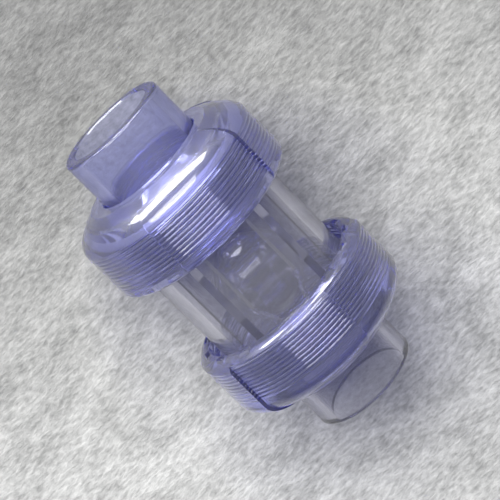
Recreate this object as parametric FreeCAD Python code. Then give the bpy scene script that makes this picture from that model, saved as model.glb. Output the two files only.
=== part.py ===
import FreeCAD, Part
import math
import os

# Clear true-union ball check valve for 32 mm pipe.  Millimetres.
# +X is the flow direction, from inlet to outlet, on the bore axis.  +Z is up, with the valve
# lying on its side on both union nuts.  The origin is the middle of the valve on the bore axis.
# Every piece is first made about a local Z axis, where "height" is the distance along the bore,
# and is then laid down along X.

# Driving dimensions: overall
half_length = 64.65        # middle of the valve to a socket mouth
pipe_r = 16.0              # outside radius of the pipe that is cemented in
socket_r = pipe_r + 0.05
socket_depth = 22.0
tube_r = 20.5              # outside of the end connectors
waterway_r = 14.0
slight_edge = 0.3          # the three sizes of broken edge
plain_edge = 0.5
heavy_edge = 0.8
overrun = 1.0              # how far a cutting shape runs past the face that it cuts

# Union thread, right-handed trapezoidal 60 x 3
pitch = 3.0
thread_turns = 4
male_core_r = 28.25
male_crest_r = 29.9
female_core_r = 30.25
female_crest_r = 28.6
ridge_root_width = 2.1
ridge_crest_width = 0.6
thread_start = 21.9        # height at which the ridges begin
ridge_bite = 0.35          # how far a ridge is rooted in its wall
runout_turns = 0.6         # relief in the nut beyond the last full turn
relief_cone = 1.2

# Valve body
body_r = 28.0
body_half = 35.0
chamber_r = 23.5
outlet_lip_r = 20.5
outlet_lip_height = 30.0
core_start = 20.8
parting_width = 0.5        # gap in the male thread at the mould's parting line
parting_lift = 0.1         # height of the gap's floor above the thread's core

# Guide ribs inside the body
rib_count = 5
rib_first_angle = 49.5     # degrees from +Y towards +Z
rib_thickness = 3.2
guide_r = 16.9
rib_end_r = 9.5
rib_lead = 2.0             # lead-in at the inlet end of each rib
rib_bite = 1.0             # how far a rib is rooted in the wall and in the outlet lip
stop_slope = 60.6          # degrees, the stop edge against the radial direction

# Ball
ball_r = 16.5
ball_open_height = 8.0
ball_closed_height = -11.5
contact_gap = 0.05

# Seat carrier, its seat ring and its O-ring
pocket_r = 24.2
pocket_depth = 18.0
carrier_r = 24.0
carrier_inlet_gap = 0.1
carrier_end_gap = 0.2
carrier_inner_r = 16.8
carrier_rim_r = 20.4
carrier_web = 6.5
seat_contact_r = 14.3
seat_outer_r = 18.0
seat_pocket_r = 18.1
seat_height = 4.6
seat_lip = 0.9             # width of the seat's cone, each side of the contact circle
carrier_groove_r = 22.0
carrier_groove_width = 2.6
carrier_groove_offset = 7.0
carrier_ring_section_r = 1.05
seat_floor_gap = 0.05
key_slot_width = 5.0
key_slot_depth = 2.5

# End connectors
face_gap = 0.3
flange_r = 28.0
flange_thickness = 5.7
face_groove_inner_r = 24.6
face_groove_outer_r = 27.2
face_groove_depth = 2.2
face_ring_section_r = 1.2
face_ring_gap = 0.03
mouth_round = 1.3

# Union nuts
nut_start = 16.8
nut_end = 46.3
nut_bore_r = 30.4
nut_bore_depth = 4.4
nut_seat_gap = 0.2
nut_cavity_r = 28.7
neck_hole_r = 20.9
lobe_count = 5
lobe_r = 37.2              # highest point of a lobe
lobe_step = 1.5            # height of the step between two lobes
step_lean = 0.3            # degrees that the step takes
shoulder_height = 37.5
shoulder = [               # height, radius of the lobe tops and height of the step on the shoulder
    (shoulder_height, lobe_r, lobe_step),
    (40.1, 36.2, 1.5),
    (42.4, 33.9, 1.3),
    (44.2, 31.0, 1.0),
    (45.5, 28.3, 0.6),
    (46.3, 26.2, 0.3),
]
lobe_phase = -75.5         # degrees, puts the flat between two lobe tops underneath
rim_face_r = 31.9
rim_middle_r = 35.9        # point on the rim's round edge, halfway up it
rim_middle_height = 18.55
rim_top_r = 37.6
rim_top_height = 21.4
notch_count = 15
notch_inner_r = 31.1
notch_outer_r = 32.9
notch_width = 5.0
notch_depth = 2.4


def point(radius, height):
    return FreeCAD.Vector(radius, 0, height)


def polar(radius, degrees, height):
    angle = math.radians(degrees)
    return FreeCAD.Vector(radius * math.cos(angle), radius * math.sin(angle), height)


def round_middle(centre_r, centre_height, radius):
    """Middle of the quarter circle that faces outwards and upwards."""
    reach = radius * math.sqrt(0.5)
    return (centre_r + reach, centre_height + reach)


def turned(outline):
    """Solid of revolution about Z.  A corner is (radius, height); an arc is a pair of them, the
    point that it passes through and its end."""
    edges = []
    here = point(*outline[0])
    for step in outline[1:] + [outline[0]]:
        if isinstance(step[0], tuple):
            end = point(*step[1])
            edges.append(Part.Arc(here, point(*step[0]), end).toShape())
        else:
            end = point(*step)
            edges.append(Part.makeLine(here, end))
        here = end
    face = Part.Face(Part.Wire(edges))
    return face.revolve(FreeCAD.Vector(0, 0, 0), FreeCAD.Vector(0, 0, 1), 360)


def block(inner_r, outer_r, width, low, high, degrees):
    """A radial block from inner_r to outer_r, between two heights."""
    shape = Part.makeBox(outer_r - inner_r, width, high - low, FreeCAD.Vector(inner_r, -width / 2, low))
    shape.rotate(FreeCAD.Vector(0, 0, 0), FreeCAD.Vector(0, 0, 1), degrees)
    return shape


def helical_ridge(core_r, crest_r, start):
    """Right-handed trapezoidal ridge that is rooted in the wall at core_r."""
    outward = 1 if crest_r > core_r else -1
    root_r = core_r - outward * ridge_bite
    flare = (ridge_root_width - ridge_crest_width) / abs(crest_r - core_r)
    root_half = (ridge_root_width + flare * ridge_bite) / 2
    crest_half = ridge_crest_width / 2
    corners = [
        point(root_r, start - root_half),
        point(crest_r, start - crest_half),
        point(crest_r, start + crest_half),
        point(root_r, start + root_half),
    ]
    profile = Part.makePolygon(corners + [corners[0]])
    helix = Part.makeHelix(pitch, thread_turns * pitch, core_r)
    helix.translate(FreeCAD.Vector(0, 0, start))
    return Part.Wire(helix.Edges).makePipeShell([profile], True, True)


def flipped(shape):
    """The same shape turned end for end about the valve's vertical axis."""
    turned_round = shape.copy()
    turned_round.rotate(FreeCAD.Vector(0, 0, 0), FreeCAD.Vector(0, 1, 0), 180)
    return turned_round


def laid_down(shape):
    """Local Z becomes +X, local X becomes +Y and local Y becomes +Z."""
    matrix = FreeCAD.Matrix(0, 0, 1, 0, 1, 0, 0, 0, 0, 1, 0, 0, 0, 0, 0, 1)
    return shape.transformed(matrix)


def guide_rib(degrees):
    """A flat rib that guides the ball and leans in beyond it as its stop."""
    slope = math.radians(stop_slope)
    reach = (ball_r + contact_gap - guide_r * math.sin(slope)) / math.cos(slope)
    stop_start = ball_open_height + reach
    stop_end = stop_start + (guide_r - rib_end_r) * math.tan(slope)
    low = -body_half + pocket_depth + slight_edge
    high = outlet_lip_height + rib_bite
    wall_r = chamber_r + rib_bite
    corners = [
        point(wall_r, low),
        point(guide_r + rib_lead, low),
        point(guide_r, low + rib_lead),
        point(guide_r, stop_start),
        point(rib_end_r, stop_end),
        point(rib_end_r, high),
        point(wall_r, high),
    ]
    face = Part.Face(Part.makePolygon(corners + [corners[0]]))
    rib = face.extrude(FreeCAD.Vector(0, rib_thickness, 0))
    rib.translate(FreeCAD.Vector(0, -rib_thickness / 2, 0))
    rib.rotate(FreeCAD.Vector(0, 0, 0), FreeCAD.Vector(0, 0, 1), degrees)
    return rib


def parting_slot(degrees, low, high):
    """The narrow gap in the male thread where the two halves of the mould meet."""
    floor_r = male_core_r + parting_lift
    return block(floor_r, male_crest_r + overrun, parting_width, low, high, degrees)


def make_body():
    swell = male_core_r - body_r
    outside = turned([
        (0, -body_half),
        (male_core_r - heavy_edge, -body_half),
        (male_core_r, -body_half + heavy_edge),
        (male_core_r, -core_start),
        (body_r, -core_start + swell),
        (body_r, core_start - swell),
        (male_core_r, core_start),
        (male_core_r, body_half - heavy_edge),
        (male_core_r - heavy_edge, body_half),
        (0, body_half),
    ])
    lip_round = chamber_r - outlet_lip_r
    inside = turned([
        (0, -body_half - overrun),
        (pocket_r, -body_half - overrun),
        (pocket_r, -body_half + pocket_depth),
        (chamber_r, -body_half + pocket_depth),
        (chamber_r, outlet_lip_height - lip_round),
        (
            round_middle(outlet_lip_r, outlet_lip_height - lip_round, lip_round),
            (outlet_lip_r, outlet_lip_height),
        ),
        (outlet_lip_r, body_half + overrun),
        (0, body_half + overrun),
    ])
    shape = outside.cut(inside)
    for i in range(rib_count):
        shape = shape.fuse(guide_rib(rib_first_angle + i * 360 / rib_count))
    ridge = helical_ridge(male_core_r, male_crest_r, thread_start)
    shape = shape.fuse([ridge, flipped(ridge)])
    for degrees in (90, 270):
        shape = shape.cut([
            parting_slot(degrees, core_start, body_half),
            parting_slot(degrees, -body_half, -core_start),
        ])
    return shape.removeSplitter()


def make_ball():
    return Part.makeSphere(ball_r, FreeCAD.Vector(0, 0, ball_open_height))


def seat_plane():
    """Height of the circle on which the closed ball touches its seat."""
    return ball_closed_height - math.sqrt(ball_r ** 2 - seat_contact_r ** 2)


def seat_slope():
    """Height gained per unit of radius along the seat's cone, tangent to the closed ball."""
    return seat_contact_r / (ball_closed_height - seat_plane())


def seat_bottom():
    """Height of the seat ring's flat side, with the ring clear of the closed ball by the gap."""
    drop = ball_closed_height - seat_plane()
    return seat_plane() - contact_gap * ball_r / drop - seat_height / 2


def make_seat():
    slope = seat_slope()
    bottom = seat_bottom()
    plane = bottom + seat_height / 2
    top = bottom + seat_height
    inner = seat_contact_r - seat_lip
    outer = seat_contact_r + seat_lip
    return turned([
        (inner, bottom),
        (seat_outer_r, bottom),
        (seat_outer_r, top - plain_edge),
        (seat_outer_r - plain_edge, top),
        (outer + slight_edge, top),
        (outer, plane + seat_lip * slope),
        (inner, plane - seat_lip * slope),
    ])


def carrier_low():
    return -body_half + carrier_inlet_gap


def make_carrier():
    low = carrier_low()
    high = -body_half + pocket_depth - carrier_end_gap
    pocket_floor = seat_bottom() - seat_floor_gap
    groove = low + carrier_groove_offset
    web_low = pocket_floor - carrier_web
    shape = turned([
        (waterway_r, low + plain_edge),
        (waterway_r + plain_edge, low),
        (carrier_inner_r, low),
        (carrier_inner_r, web_low),
        (carrier_rim_r, web_low),
        (carrier_rim_r, low),
        (carrier_r - plain_edge, low),
        (carrier_r, low + plain_edge),
        (carrier_r, groove),
        (carrier_groove_r, groove),
        (carrier_groove_r, groove + carrier_groove_width),
        (carrier_r, groove + carrier_groove_width),
        (carrier_r, high - plain_edge),
        (carrier_r - plain_edge, high),
        (seat_pocket_r + heavy_edge, high),
        (seat_pocket_r, high - heavy_edge),
        (seat_pocket_r, pocket_floor),
        (waterway_r, pocket_floor),
    ])
    key_inner = waterway_r - overrun
    key_top = low + key_slot_depth
    slots = []
    for degrees in (90, 270):
        slots.append(block(key_inner, carrier_rim_r, key_slot_width, low - overrun, key_top, degrees))
    return shape.cut(slots)


def make_carrier_ring():
    height = carrier_low() + carrier_groove_offset + carrier_groove_width / 2
    middle_r = (carrier_groove_r + pocket_r) / 2
    ring = Part.makeTorus(middle_r, carrier_ring_section_r)
    ring.translate(FreeCAD.Vector(0, 0, height))
    return ring


def make_connector():
    face = body_half + face_gap
    back = face + flange_thickness
    stop = half_length - socket_depth
    round_r = tube_r - mouth_round
    round_height = half_length - mouth_round
    return turned([
        (waterway_r + heavy_edge, face),
        (face_groove_inner_r, face),
        (face_groove_inner_r, face + face_groove_depth),
        (face_groove_outer_r, face + face_groove_depth),
        (face_groove_outer_r, face),
        (flange_r - slight_edge, face),
        (flange_r, face + slight_edge),
        (flange_r, back - heavy_edge),
        (flange_r - heavy_edge, back),
        (tube_r + slight_edge, back),
        (tube_r, back + slight_edge),
        (tube_r, round_height),
        (round_middle(round_r, round_height, mouth_round), (round_r, half_length)),
        (socket_r + plain_edge, half_length),
        (socket_r, half_length - plain_edge),
        (socket_r, stop),
        (waterway_r, stop),
        (waterway_r, face + heavy_edge),
    ])


def make_face_ring():
    height = body_half + face_gap + face_groove_depth - face_ring_section_r - face_ring_gap
    ring = Part.makeTorus((face_groove_inner_r + face_groove_outer_r) / 2, face_ring_section_r)
    ring.translate(FreeCAD.Vector(0, 0, height))
    return ring


def lobed_wire(height, top_r, step):
    """Outline of the grip: each lobe falls slowly from its top, then steps back up to the next."""
    turn = 360 / lobe_count
    edges = []
    for i in range(lobe_count):
        start = lobe_phase + i * turn
        top = polar(top_r, start, height)
        middle = polar(top_r - step / 2, start + turn / 2 - step_lean / 2, height)
        bottom = polar(top_r - step, start + turn - step_lean, height)
        following = polar(top_r, start + turn, height)
        edges.append(Part.Arc(top, middle, bottom).toShape())
        edges.append(Part.makeLine(bottom, following))
    return Part.Wire(edges)


def nut_outside():
    barrel = Part.Face(lobed_wire(nut_start, lobe_r, lobe_step))
    barrel = barrel.extrude(FreeCAD.Vector(0, 0, shoulder_height - nut_start))
    dome = Part.makeLoft([lobed_wire(*section) for section in shoulder], True, False)
    limit = turned([
        (0, nut_start),
        (rim_face_r, nut_start),
        ((rim_middle_r, rim_middle_height), (rim_top_r, rim_top_height)),
        (rim_top_r, nut_end + overrun),
        (0, nut_end + overrun),
    ])
    return barrel.fuse(dome).common(limit)


def nut_cavity():
    seat = body_half + face_gap + flange_thickness + nut_seat_gap
    bore_end = nut_start + nut_bore_depth
    relief = thread_start + (thread_turns + runout_turns) * pitch
    return turned([
        (0, nut_start - overrun),
        (nut_bore_r + plain_edge, nut_start - overrun),
        (nut_bore_r + plain_edge, nut_start),
        (nut_bore_r, nut_start + plain_edge),
        (nut_bore_r, bore_end),
        (female_core_r, bore_end + nut_bore_r - female_core_r),
        (female_core_r, relief),
        (nut_cavity_r, relief + relief_cone),
        (nut_cavity_r, seat - heavy_edge),
        (nut_cavity_r - heavy_edge, seat),
        (neck_hole_r, seat),
        (neck_hole_r, nut_end - plain_edge),
        (neck_hole_r + plain_edge, nut_end),
        (neck_hole_r + plain_edge, nut_end + overrun),
        (0, nut_end + overrun),
    ])


def make_nut():
    low = nut_start - overrun
    high = nut_start + notch_depth
    notches = []
    for i in range(notch_count):
        degrees = lobe_phase + (i + 0.5) * 360 / notch_count
        notches.append(block(notch_inner_r, notch_outer_r, notch_width, low, high, degrees))
    shape = nut_outside().cut([nut_cavity()] + notches)
    ridge = helical_ridge(female_core_r, female_crest_r, thread_start - pitch / 2)
    return shape.fuse(ridge).removeSplitter()


def main():
    os.makedirs("parts", exist_ok=True)
    connector = make_connector()
    face_ring = make_face_ring()
    nut = make_nut()
    pieces = {
        "valve_body": make_body(),
        "ball": make_ball(),
        "seat_carrier": make_carrier(),
        "ball_seat_ring": make_seat(),
        "carrier_o_ring": make_carrier_ring(),
        "outlet_connector": connector,
        "inlet_connector": flipped(connector),
        "outlet_face_o_ring": face_ring,
        "inlet_face_o_ring": flipped(face_ring),
        "outlet_union_nut": nut,
        "inlet_union_nut": flipped(nut),
    }
    for name, shape in pieces.items():
        laid = laid_down(shape)
        laid.exportStep(f"parts/{name}.step")
        print(name, laid.isValid(), len(laid.Solids), round(laid.Volume))


main()
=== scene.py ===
import math

import bpy
from mathutils import Matrix, Vector


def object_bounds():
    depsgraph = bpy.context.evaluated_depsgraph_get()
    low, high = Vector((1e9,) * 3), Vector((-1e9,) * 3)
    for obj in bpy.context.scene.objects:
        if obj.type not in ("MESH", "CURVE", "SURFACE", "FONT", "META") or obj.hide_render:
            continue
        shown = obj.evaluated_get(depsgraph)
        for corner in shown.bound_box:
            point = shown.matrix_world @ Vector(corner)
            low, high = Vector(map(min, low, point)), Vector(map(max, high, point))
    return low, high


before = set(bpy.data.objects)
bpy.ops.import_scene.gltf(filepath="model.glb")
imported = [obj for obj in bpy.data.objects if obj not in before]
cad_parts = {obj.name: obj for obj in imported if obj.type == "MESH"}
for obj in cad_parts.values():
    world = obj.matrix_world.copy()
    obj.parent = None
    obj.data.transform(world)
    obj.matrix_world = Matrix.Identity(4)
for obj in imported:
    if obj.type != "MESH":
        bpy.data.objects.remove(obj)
cad_low, cad_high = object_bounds()

# Optics of the clear plastic
PLASTIC_IOR = 1.53
CLEAR_BOUNCES = 32
SHEEN_ROUGHNESS = 0.28     # coat on the nuts that stands in for broad reflections

# Camera: where it looks, how far off it is and how it is turned, in metres and degrees
VIEW_TARGET = (0.0008, 0.0037, 0.0)
VIEW_DISTANCE = 0.722
VIEW_AZIMUTH = -101.5
VIEW_ELEVATION = 73.0
VIEW_ROLL = -147.2
LENS_MM = 152.4

# Rings in the nut material that stand in for the threads seen through the barrel, as a bump and as
# painted shade: dark rings multiplied into the colour.
# Distances are from the middle of the valve, in metres.
RING_SPACING = 0.0015
RING_HEIGHT = 0.00015
# colour of the painted shade in the darkest part of each ring
PAINTED_RING_SHADE = (0.35, 0.37, 0.55)
RINGS_START = 0.0219
RINGS_END = 0.0350
THREAD_DEPTH_SHIFT = 0.0014  # where threads under the skin appear from the main camera only
BARREL_INSIDE = 0.0335

FLOOR_HALF = 3.0
PAINTED_SHADE_SIDE = (-0.97, 0.24, 0.0)  # the way along which a broad band of painted shade lies on the floor


def nodes_of(material):
    material.use_nodes = True
    tree = material.node_tree
    tree.nodes.clear()
    return tree, tree.nodes, tree.links


def noise(tree, scale, detail=3.0, stretch=(1, 1, 1)):
    """Procedural noise in the object's own metres."""
    where = tree.nodes.new("ShaderNodeTexCoord")
    mapping = tree.nodes.new("ShaderNodeMapping")
    mapping.inputs["Scale"].default_value = stretch
    tree.links.new(where.outputs["Object"], mapping.inputs["Vector"])
    texture = tree.nodes.new("ShaderNodeTexNoise")
    texture.inputs["Scale"].default_value = scale
    texture.inputs["Detail"].default_value = detail
    tree.links.new(mapping.outputs["Vector"], texture.inputs["Vector"])
    return texture


def ramp(tree, source, low, high, dark, light):
    """Maps low..high of a value to dark..light colours."""
    node = tree.nodes.new("ShaderNodeValToRGB")
    node.color_ramp.elements[0].position = low
    node.color_ramp.elements[1].position = high
    node.color_ramp.elements[0].color = (*dark, 1)
    node.color_ramp.elements[1].color = (*light, 1)
    tree.links.new(source, node.inputs["Fac"])
    return node


def spread(tree, source, low, high):
    """Maps 0..1 to low..high."""
    node = tree.nodes.new("ShaderNodeMapRange")
    node.inputs["To Min"].default_value = low
    node.inputs["To Max"].default_value = high
    tree.links.new(source, node.inputs["Value"])
    return node


def bump(tree, source, strength, distance):
    node = tree.nodes.new("ShaderNodeBump")
    node.inputs["Strength"].default_value = strength
    node.inputs["Distance"].default_value = distance
    tree.links.new(source, node.inputs["Height"])
    return node


def math_node(tree, operation, first, second=None):
    node = tree.nodes.new("ShaderNodeMath")
    node.operation = operation
    for i, value in enumerate((first, second)):
        if isinstance(value, float):
            node.inputs[i].default_value = value
        elif value is not None:
            tree.links.new(value, node.inputs[i])
    return node.outputs["Value"]


def ramp_between(tree, source, start, end):
    """0 at start and 1 at end, clamped and smooth."""
    node = tree.nodes.new("ShaderNodeMapRange")
    node.interpolation_type = "SMOOTHSTEP"
    node.inputs["From Min"].default_value = start
    node.inputs["From Max"].default_value = end
    tree.links.new(source, node.inputs["Value"])
    return node.outputs["Result"]


def thread_rings(tree):
    """-1 to 1 in fine rings round the outside of the barrel over the union thread, 0 elsewhere."""
    where = tree.nodes.new("ShaderNodeTexCoord")
    split = tree.nodes.new("ShaderNodeSeparateXYZ")
    tree.links.new(where.outputs["Object"], split.inputs["Vector"])
    x, y, z = (split.outputs[axis] for axis in "XYZ")
    wave = math_node(tree, "SINE", math_node(tree, "MULTIPLY", x, 2 * math.pi / RING_SPACING))
    distance = math_node(tree, "ABSOLUTE", math_node(tree, "ADD", x, THREAD_DEPTH_SHIFT))
    begins = ramp_between(tree, distance, RINGS_START - RING_SPACING, RINGS_START)
    ends = ramp_between(tree, distance, RINGS_END + RING_SPACING, RINGS_END)
    squares = (math_node(tree, "MULTIPLY", side, side) for side in (y, z))
    radius = math_node(tree, "SQRT", math_node(tree, "ADD", *squares))
    outside = math_node(tree, "GREATER_THAN", radius, BARREL_INSIDE)
    height = wave
    for mask in (begins, ends, outside):
        height = math_node(tree, "MULTIPLY", height, mask)
    return height


def clear_plastic(name, tint, haze, deep, density, rough, ripple, lamp_tint, sheen=0.0,
                  painted_thread_rings=False):
    """Polished clear moulding: a faint surface tint with a little haze, colour that deepens with
    thickness, soft flow ripples and a little variation in polish.  Lamps shine through it."""
    material = bpy.data.materials.new(name)
    tree, nodes, links = nodes_of(material)
    shader = nodes.new("ShaderNodeBsdfPrincipled")
    shader.inputs["Transmission Weight"].default_value = 1.0 - haze
    shader.inputs["IOR"].default_value = PLASTIC_IOR
    shader.inputs["Coat Weight"].default_value = sheen
    shader.inputs["Coat Roughness"].default_value = SHEEN_ROUGHNESS
    flow = noise(tree, 60.0)
    polish = noise(tree, 900.0, 5.0)
    pale = tuple(c + (1 - c) * 0.25 for c in tint)
    colour = ramp(tree, flow.outputs["Fac"], 0.3, 0.7, tint, pale)
    surface = colour.outputs["Color"]
    roughness = spread(tree, polish.outputs["Fac"], rough * 0.5, rough * 1.5)
    links.new(roughness.outputs["Result"], shader.inputs["Roughness"])
    relief = bump(tree, flow.outputs["Fac"], ripple, 0.0006)
    if painted_thread_rings:
        rings = thread_rings(tree)
        ripples = relief
        relief = bump(tree, rings, 1.0, RING_HEIGHT)
        links.new(ripples.outputs["Normal"], relief.inputs["Normal"])
        # painted shade: dark rings multiplied into the nut colour where the thread looks dark through
        # the wall
        painted_ring_shade = ramp(tree, math_node(tree, "ADD", rings, 1.0), 0.1, 0.7, PAINTED_RING_SHADE, (1, 1, 1))
        shaded = nodes.new("ShaderNodeVectorMath")
        shaded.operation = "MULTIPLY"
        links.new(surface, shaded.inputs[0])
        links.new(painted_ring_shade.outputs["Color"], shaded.inputs[1])
        surface = shaded.outputs["Vector"]
    links.new(surface, shader.inputs["Base Color"])
    links.new(relief.outputs["Normal"], shader.inputs["Normal"])
    lamp_pass = nodes.new("ShaderNodeBsdfTransparent")
    lamp_pass.inputs["Color"].default_value = (*lamp_tint, 1)
    path = nodes.new("ShaderNodeLightPath")
    mix = nodes.new("ShaderNodeMixShader")
    links.new(path.outputs["Is Shadow Ray"], mix.inputs["Fac"])
    links.new(shader.outputs["BSDF"], mix.inputs[1])
    links.new(lamp_pass.outputs["BSDF"], mix.inputs[2])
    inside = nodes.new("ShaderNodeVolumeAbsorption")
    inside.inputs["Color"].default_value = (*deep, 1)
    inside.inputs["Density"].default_value = density
    out = nodes.new("ShaderNodeOutputMaterial")
    links.new(mix.outputs["Shader"], out.inputs["Surface"])
    links.new(inside.outputs["Volume"], out.inputs["Volume"])
    return material


def silicone(name):
    """Translucent satin seal."""
    material = bpy.data.materials.new(name)
    tree, nodes, links = nodes_of(material)
    shader = nodes.new("ShaderNodeBsdfPrincipled")
    shader.inputs["Transmission Weight"].default_value = 0.55
    shader.inputs["IOR"].default_value = 1.41
    mottling = noise(tree, 700.0)
    colour = ramp(tree, mottling.outputs["Fac"], 0.3, 0.7, (0.70, 0.71, 0.74), (0.80, 0.81, 0.83))
    links.new(colour.outputs["Color"], shader.inputs["Base Color"])
    roughness = spread(tree, mottling.outputs["Fac"], 0.28, 0.42)
    links.new(roughness.outputs["Result"], shader.inputs["Roughness"])
    fine = bump(tree, mottling.outputs["Fac"], 0.1, 0.0002)
    links.new(fine.outputs["Normal"], shader.inputs["Normal"])
    out = nodes.new("ShaderNodeOutputMaterial")
    links.new(shader.outputs["BSDF"], out.inputs["Surface"])
    return material


def dress(node, material):
    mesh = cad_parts[node].data
    mesh.materials.clear()
    mesh.materials.append(material)


def make_materials():
    nut = clear_plastic("nut_plastic", (0.93, 0.94, 0.99), 0.06, (0.22, 0.25, 0.92), 74.0,
                        0.015, 0.02, (0.78, 0.78, 0.83), 0.8, painted_thread_rings=True)
    connector = clear_plastic("connector_plastic", (0.89, 0.90, 0.96), 0.07, (0.20, 0.24, 0.90), 80.0,
                              0.05, 0.02, (0.80, 0.80, 0.85))
    body = clear_plastic("body_plastic", (0.91, 0.91, 0.94), 0.07, (0.36, 0.36, 0.58), 52.0,
                         0.02, 0.02, (0.80, 0.80, 0.84))
    # painted shade: a darker, greyer copy of the connector plastic for the outlet connector, which
    # lies in shade
    outlet = clear_plastic("outlet_plastic_painted_shade", (0.86, 0.86, 0.90), 0.08, (0.34, 0.34, 0.54), 70.0,
                           0.03, 0.03, (0.78, 0.78, 0.81))
    ball = clear_plastic("ball_plastic", (0.92, 0.92, 0.94), 0.04, (0.60, 0.60, 0.70), 24.0,
                         0.06, 0.03, (0.90, 0.90, 0.92))
    seal = silicone("seal_silicone")
    for end in ("inlet", "outlet"):
        dress(f"{end}_union_nut", nut)
        dress(f"{end}_face_o_ring", seal)
    dress("inlet_connector", connector)
    dress("outlet_connector", outlet)
    dress("valve_body", body)
    dress("seat_carrier", body)
    dress("ball", ball)
    dress("ball_seat_ring", seal)
    dress("carrier_o_ring", seal)


def make_floor():
    """Plain pale cloth-like floor: fine fibres, mottling and broad tone, with a broad band of painted
    shade on the inlet side.
    """
    bpy.ops.mesh.primitive_plane_add(size=2 * FLOOR_HALF, location=(0, 0, cad_low.z - 0.0001))
    floor = bpy.context.object
    floor.name = "floor"
    material = bpy.data.materials.new("pale_floor")
    tree, nodes, links = nodes_of(material)
    shader = nodes.new("ShaderNodeBsdfPrincipled")
    fibres = noise(tree, 650.0, 8.0, (1.0, 0.4, 1.0))
    fibres.inputs["Roughness"].default_value = 0.65
    mottling = noise(tree, 110.0, 6.0, (1.0, 0.55, 1.0))
    mottling.inputs["Roughness"].default_value = 0.6
    clouds = noise(tree, 24.0, 3.0, (1.0, 0.6, 1.0))
    fine, middle, broad = (
        spread(tree, texture.outputs["Fac"], 0.0, share).outputs["Result"]
        for texture, share in ((fibres, 0.52), (mottling, 0.32), (clouds, 0.16)))
    total = math_node(tree, "ADD", math_node(tree, "ADD", fine, middle), broad)
    colour = ramp(tree, total, 0.38, 0.62, (0.38, 0.38, 0.375), (0.90, 0.895, 0.88))
    # painted shade: a broad band on the inlet side, darkest about 9 cm out, that darkens the floor
    # colour to 0.38 of its tone
    where = nodes.new("ShaderNodeTexCoord")
    along = nodes.new("ShaderNodeVectorMath")
    along.operation = "DOT_PRODUCT"
    along.inputs[1].default_value = PAINTED_SHADE_SIDE
    links.new(where.outputs["Object"], along.inputs[0])
    reach = nodes.new("ShaderNodeMapRange")
    reach.inputs["From Min"].default_value = -0.06
    reach.inputs["From Max"].default_value = 0.28
    links.new(along.outputs["Value"], reach.inputs["Value"])
    painted_shade_band = ramp(tree, reach.outputs["Result"], 0.0, 1.0, (1.0, 1.0, 1.0), (1.0, 1.0, 1.0))
    painted_shade_band.color_ramp.elements.new(0.45).color = (0.38, 0.38, 0.38, 1)
    painted_shade = nodes.new("ShaderNodeVectorMath")
    painted_shade.operation = "MULTIPLY"
    links.new(colour.outputs["Color"], painted_shade.inputs[0])
    links.new(painted_shade_band.outputs["Color"], painted_shade.inputs[1])
    links.new(painted_shade.outputs["Vector"], shader.inputs["Base Color"])
    relief = bump(tree, total, 0.6, 0.002)
    links.new(relief.outputs["Normal"], shader.inputs["Normal"])
    shader.inputs["Roughness"].default_value = 0.9
    out = nodes.new("ShaderNodeOutputMaterial")
    links.new(shader.outputs["BSDF"], out.inputs["Surface"])
    floor.data.materials.append(material)


def aim(obj, target, roll_degrees=0.0):
    """Points an object's -Z at the target, then turns it about that line."""
    back = (obj.location - Vector(target)).normalized()
    turn = back.to_track_quat("Z", "Y").to_matrix().to_4x4()
    roll = Matrix.Rotation(math.radians(roll_degrees), 4, "Z")
    obj.matrix_world = Matrix.Translation(obj.location) @ turn @ roll


def area_light(name, place, size, power):
    data = bpy.data.lights.new(name, "AREA")
    data.shape = "RECTANGLE"
    data.size, data.size_y = size
    data.energy = power
    light = bpy.data.objects.new(name, data)
    bpy.context.collection.objects.link(light)
    light.location = place
    aim(light, (0, 0, 0))
    return light


def light_from(azimuth, elevation, distance):
    """A place in the given direction from the origin, azimuth from +X towards +Y, in degrees."""
    turn, rise = math.radians(azimuth), math.radians(elevation)
    flat = math.cos(rise) * distance
    return (math.cos(turn) * flat, math.sin(turn) * flat, math.sin(rise) * distance)


def make_lights():
    area_light("window_box", light_from(-178, 46, 1.3), (1.4, 0.7), 27.0)
    low_box = area_light("low_box", light_from(180, 2, 0.36), (0.44, 0.12), 2.4)
    low_box.visible_diffuse = False
    world = bpy.data.worlds.new("studio")
    bpy.context.scene.world = world
    world.use_nodes = True
    tree = world.node_tree
    back = tree.nodes["Background"]
    back.inputs["Color"].default_value = (0.80, 0.82, 0.85, 1)
    where = tree.nodes.new("ShaderNodeTexCoord")
    split = tree.nodes.new("ShaderNodeSeparateXYZ")
    tree.links.new(where.outputs["Generated"], split.inputs["Vector"])
    fall = tree.nodes.new("ShaderNodeMapRange")
    fall.inputs["From Min"].default_value = -0.6
    fall.inputs["From Max"].default_value = 0.6
    fall.inputs["To Min"].default_value = 0.60
    fall.inputs["To Max"].default_value = 0.10
    tree.links.new(split.outputs["X"], fall.inputs["Value"])
    tree.links.new(fall.outputs["Result"], back.inputs["Strength"])


def make_camera():
    data = bpy.data.cameras.new("camera")
    data.lens = LENS_MM
    camera = bpy.data.objects.new("camera", data)
    bpy.context.collection.objects.link(camera)
    azimuth, elevation = math.radians(VIEW_AZIMUTH), math.radians(VIEW_ELEVATION)
    flat = math.cos(elevation)
    back = Vector((math.sin(azimuth) * flat, -math.cos(azimuth) * flat, math.sin(elevation)))
    camera.location = Vector(VIEW_TARGET) + back * VIEW_DISTANCE
    aim(camera, VIEW_TARGET, -VIEW_ROLL)
    bpy.context.scene.camera = camera


make_materials()
make_floor()
make_lights()
make_camera()
cycles = bpy.context.scene.cycles
cycles.max_bounces = CLEAR_BOUNCES
cycles.glossy_bounces = CLEAR_BOUNCES
cycles.transmission_bounces = CLEAR_BOUNCES
cycles.transparent_max_bounces = CLEAR_BOUNCES
cycles.caustics_refractive = False
cycles.caustics_reflective = False
bpy.context.scene.view_settings.view_transform = "Standard"
